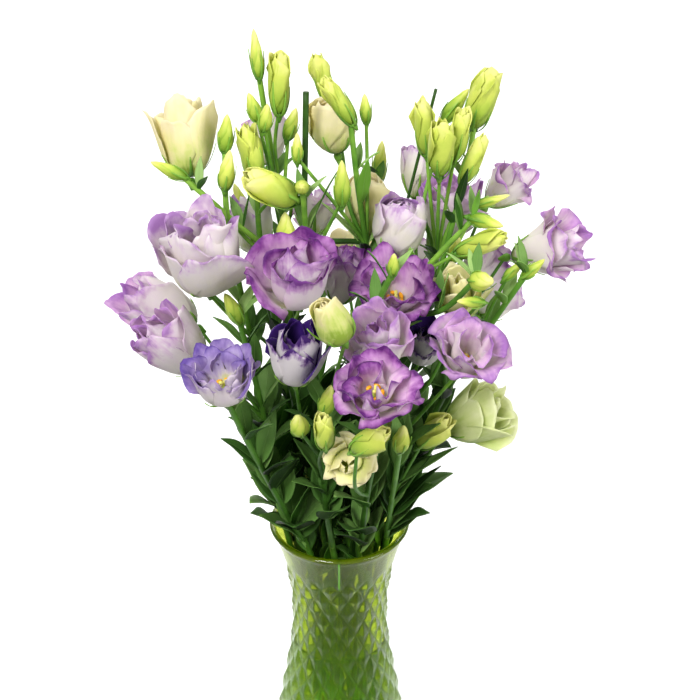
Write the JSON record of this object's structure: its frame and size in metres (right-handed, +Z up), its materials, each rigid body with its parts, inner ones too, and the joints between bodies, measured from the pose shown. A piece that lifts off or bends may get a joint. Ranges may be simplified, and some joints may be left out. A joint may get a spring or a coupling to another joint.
{
  "type": "loose bunch of lisianthus flowers in a glass vase",
  "caption": "Loose bunch of cut lisianthus, purple, lilac and cream, standing in a waisted green pressed-glass vase with water.",
  "frame": {"origin": "centre of the vase's foot, on the surface it stands on", "axes": "+Z up, +X to the right and -Y towards the viewer of the picture"},
  "size_m": [0.311, 0.3051, 0.6214],
  "materials": {
    "vase_glass": "clear green pressed glass with a raised diamond net",
    "water": "clear still water",
    "plant_green": "waxy green stems, leaves and calyxes, with pale green buds",
    "petal_cream": "soft cream petals",
    "petal_blush": "soft white petals, lilac towards their edges",
    "petal_lilac": "soft lilac petals, white towards their base",
    "petal_blue": "soft blue-lilac petals",
    "petal_purple": "soft purple petals with a satin sheen",
    "petal_violet": "dark violet petals with a white outside",
    "petal_greenish": "soft greenish white petals",
    "heart_yellow": "dusty yellow stamens round a green pistil"
  },
  "bodies": {
    "root": {"vase": "vase_glass", "water": "water", "corolla_cream_cup_left": "petal_cream", "corolla_white_lilac_left": "petal_blush", "corolla_lilac_far_left": "petal_lilac", "corolla_lilac_low_left": "petal_lilac", "corolla_blue_small_left": "petal_blue", "heart_blue_small_left": "heart_yellow", "corolla_purple_centre_left": "petal_purple", "corolla_violet_cup": "petal_violet", "corolla_cream_bud_front": "petal_cream", "corolla_purple_back_left": "petal_purple", "corolla_purple_centre": "petal_purple", "corolla_lilac_white_centre": "petal_lilac", "corolla_purple_open_front": "petal_purple", "heart_purple_open_front": "heart_yellow", "corolla_cream_goblet_centre": "petal_cream", "corolla_blush_goblet": "petal_blush", "corolla_violet_right": "petal_violet", "corolla_lilac_right": "petal_lilac", "corolla_cream_right": "petal_cream", "corolla_purple_behind_right": "petal_purple", "corolla_lilac_far_right": "petal_lilac", "corolla_lilac_behind_right": "petal_lilac", "corolla_blush_slim_right": "petal_blush", "corolla_lilac_high_right": "petal_lilac", "corolla_lilac_high_centre": "petal_lilac", "corolla_green_white_low": "petal_greenish", "corolla_white_low": "petal_cream", "corolla_cream_goblet_high": "petal_cream", "corolla_lilac_behind_top": "petal_lilac", "corolla_blush_behind_left": "petal_blush", "corolla_lilac_back_centre": "petal_lilac", "corolla_purple_back_low": "petal_purple", "corolla_cream_back_low": "petal_cream", "corolla_lilac_back_right": "petal_lilac", "stem_far_left": "plant_green", "stem_left": "plant_green", "stem_left_low": "plant_green", "stem_left_front": "plant_green", "stem_centre_left": "plant_green", "stem_top_left": "plant_green", "stem_top": "plant_green", "stem_centre": "plant_green", "stem_centre_front": "plant_green", "stem_front": "plant_green", "stem_centre_right": "plant_green", "stem_right_front": "plant_green", "stem_right": "plant_green", "stem_far_right": "plant_green", "stem_top_right": "plant_green", "stem_right_back": "plant_green", "stem_right_low": "plant_green", "stem_low_front": "plant_green", "stem_back_left": "plant_green", "stem_back_right": "plant_green"}
  },
  "joints": []
}
